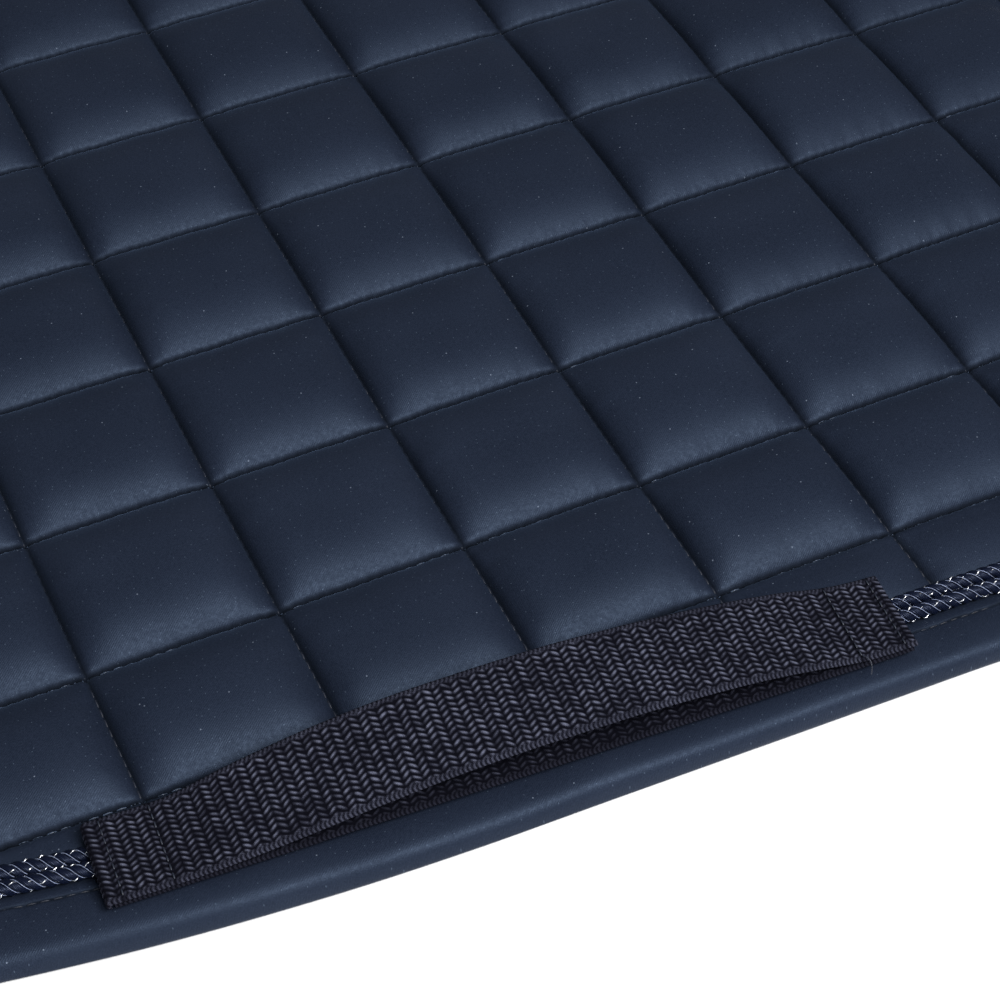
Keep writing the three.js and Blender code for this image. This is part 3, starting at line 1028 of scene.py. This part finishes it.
TAIL_STATIONS = 16
TAIL_REACH = 4.6 * MM
TAIL_RADIUS = 0.16 * MM


def build_thread_tail(start, middle, tilt):
    """The end of the sewing thread, hanging over the strap's outer edge from the last stitch."""
    t = np.linspace(0, 1, TAIL_STATIONS)
    curl = 1.4 * MM * np.sin(2.6 * t)
    drop = 0.5 * MM * np.sin(math.pi * t) - 2.6 * MM * t**2
    line = start + np.column_stack([curl, -TAIL_REACH * t, drop])
    around = np.arange(STITCH_SIDES) * 2 * math.pi / STITCH_SIDES
    ring = TAIL_RADIUS * np.column_stack([np.cos(around), 0 * around, np.sin(around)])
    points = placed((line[:, None] + ring).reshape(-1, 3), middle, tilt, 0, STRAP_LEAN)
    verts, blocks = tube(points.reshape(TAIL_STATIONS, STITCH_SIDES, 3))
    both_flaps("girth_strap_thread_tail", verts, blocks, "seam_thread", crosses_spine=False)


# ======================================================================== front straps
PATCH_GRID = (121, 49)          # vertices along and across a fastener patch
PATCH_CORNER = (14, 8, 11)      # powers that round its corners: along, across, and of the two together
PATCH_EDGE = 0.10               # share of the patch over which it thins towards its edge
PILE = 0.28 * MM


def build_front_straps():
    """One strip of webbing folded over on itself: the lower half is sewn down, the upper half is free."""
    low, high = FRONT_SEWN_BOX
    top_low, top_high = FRONT_FREE_BOX
    half = high.x - low.x
    turn = (top_low.z + top_high.z - low.z - high.z) / 4
    middle = Vector(((low.x + high.x) / 2, (low.y + high.y) / 2, 0))
    arc = math.pi * turn
    length = 2 * half + arc
    mid_height = (low.z + top_high.z) / 2

    def folded(u, v):
        """The strip's middle line: u runs from the sewn half's end, round the fold, to the free end."""
        before = np.minimum(u + arc / 2, 0)
        after = np.maximum(u - arc / 2, 0)
        angle = np.clip((u + arc / 2) / turn, 0, math.pi)
        x = -half / 2 - before - turn * np.sin(angle) + after
        return x, -turn * np.cos(angle), math.pi - angle

    verts, blocks, relief = webbing_strip(length, folded, step=0.5 * MM)
    verts = placed(verts, middle, 0, mid_height)
    for side in SIDES:
        body, strap = (LEFT if side == "left" else ROOT), f"{side}_front_strap"
        v, b = (verts, blocks) if side == "left" else mirrored(verts, blocks)
        piece = make_mesh(f"{side}_front_strap_webbing", v, b, "webbing", {"relief": relief})
        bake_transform(piece)
        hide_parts(f"{side}_front_strap_sewn_half", f"{side}_front_strap_free_half")
        build_patch(f"{side}_front_strap_loop_patch", body, "loops", 1)
        build_patch(f"{side}_front_strap_hook_patch", strap, "hooks", -1)


def build_patch(node, body, material, facing):
    """A fastener patch with rounded corners and a rough pile on its working face, up (1) or down (-1)."""
    low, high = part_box(node)
    x, y = (np.linspace(-1, 1, count) for count in PATCH_GRID)
    gx, gy = (a.ravel() for a in np.meshgrid(x, y, indexing="ij"))
    along, across, both = PATCH_CORNER
    shrink = 1 / np.maximum(1, (np.abs(gx) ** along + np.abs(gy) ** across) ** (1 / both))
    middle, half = (low + high) / 2, (high - low) / 2
    place = np.column_stack([middle.x + gx * shrink * half.x, middle.y + gy * shrink * half.y])
    edge = 1 - smooth((np.maximum(np.abs(gx), np.abs(gy)) - (1 - PATCH_EDGE)) / PATCH_EDGE)
    pile = PILE * noise2(gx * half.x, gy * half.y, 0.8 * MM, 81) * edge
    work = middle.z + facing * (half.z * (0.35 + 0.45 * edge) + pile - 0.1 * MM)
    back = np.full_like(work, middle.z - facing * half.z * 0.95)
    top, bottom = (work, back) if facing > 0 else (back, work)
    verts, blocks, _ = layer_between(place, top, bottom, sheet_faces(x, y))
    piece = make_mesh(f"{node}_pile", verts, blocks, material)
    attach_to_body(piece, body)
    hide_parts(node)


# ======================================================================== spine
SPINE_STEP = 1.6 * MM
SPINE_SEAM = 0.86               # where the band is sewn down, as a share of its half width
SPINE_PITCH = 3.4 * MM
SPINE_STITCH = 2.5 * MM


def spine_strip(node, box, thickness, crown, material):
    """A strip along the spine, turned under at its sides, gently crowned across."""
    half_width = box[1].y
    x = np.arange(box[0].x, box[1].x, SPINE_STEP)
    v = np.linspace(-1, 1, 41)
    xx, vv = np.meshgrid(x, v, indexing="ij")
    side = (1 - np.abs(vv) ** 6) ** 0.5
    base = (box[0].z + box[1].z) / 2
    wave = 0.3 * MM * noise2(xx, vv * 0.02, 0.012, 61) * (1 - vv**2)
    stitched = np.exp(-(((np.abs(vv) - SPINE_SEAM) * half_width / (1.1 * MM)) ** 2))
    top = base + thickness / 2 * side + crown * (1 - vv**2) + wave - 0.35 * MM * stitched
    bottom = base - thickness / 2 * side
    place = np.column_stack([xx.ravel(), (vv * half_width).ravel()])
    verts, blocks, _ = layer_between(place, top.ravel(), bottom.ravel(), sheet_faces(x, v))
    piece = make_mesh(f"{node}_cloth", verts, blocks, material)
    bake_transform(piece)
    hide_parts(node)


def build_spine():
    """The band over the spine seam, the tape under it and the band's two rows of stitches."""
    spine_strip("spine_band", SPINE_BAND_BOX, 1.1 * MM, 0.6 * MM, "satin")
    spine_strip("spine_lining_tape", SPINE_TAPE_BOX, 0.9 * MM, 0.0, "lining")
    x = np.arange(SPINE_BAND_BOX[0].x + 2 * MM, SPINE_BAND_BOX[1].x - 4 * MM, SPINE_PITCH)
    height = np.full_like(x, SPINE_BAND_BOX[1].z - 0.25 * MM)
    seam = SPINE_SEAM * SPINE_BAND_BOX[1].y
    starts = np.concatenate([np.column_stack([x, np.full_like(x, y), height]) for y in (-seam, seam)])
    verts, blocks = capsule_rows(starts, starts + [SPINE_STITCH, 0, 0], 0.2 * MM, 0.26 * MM)
    piece = make_mesh("spine_band_stitches", verts, blocks, "thread")
    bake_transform(piece)


# ======================================================================== build
add_camera()
add_stage()
quilt_place, quilt_top = build_quilt()
build_quilting_stitches("row_stitches", ROWS, False, 0.08 * MM, "thread", quilt_place, quilt_top)
# The column stitches take the thread's darker copy: painted shade.
build_quilting_stitches(
    "column_stitches", COLUMNS, True, 0.04 * MM, "quilt_thread_painted_shade", quilt_place, quilt_top,
)
build_binding()
build_binding_stitches()
build_rope("outer", 0.0)
build_rope("inner", 1.9)
build_girth_strap()
build_front_straps()
build_spine()
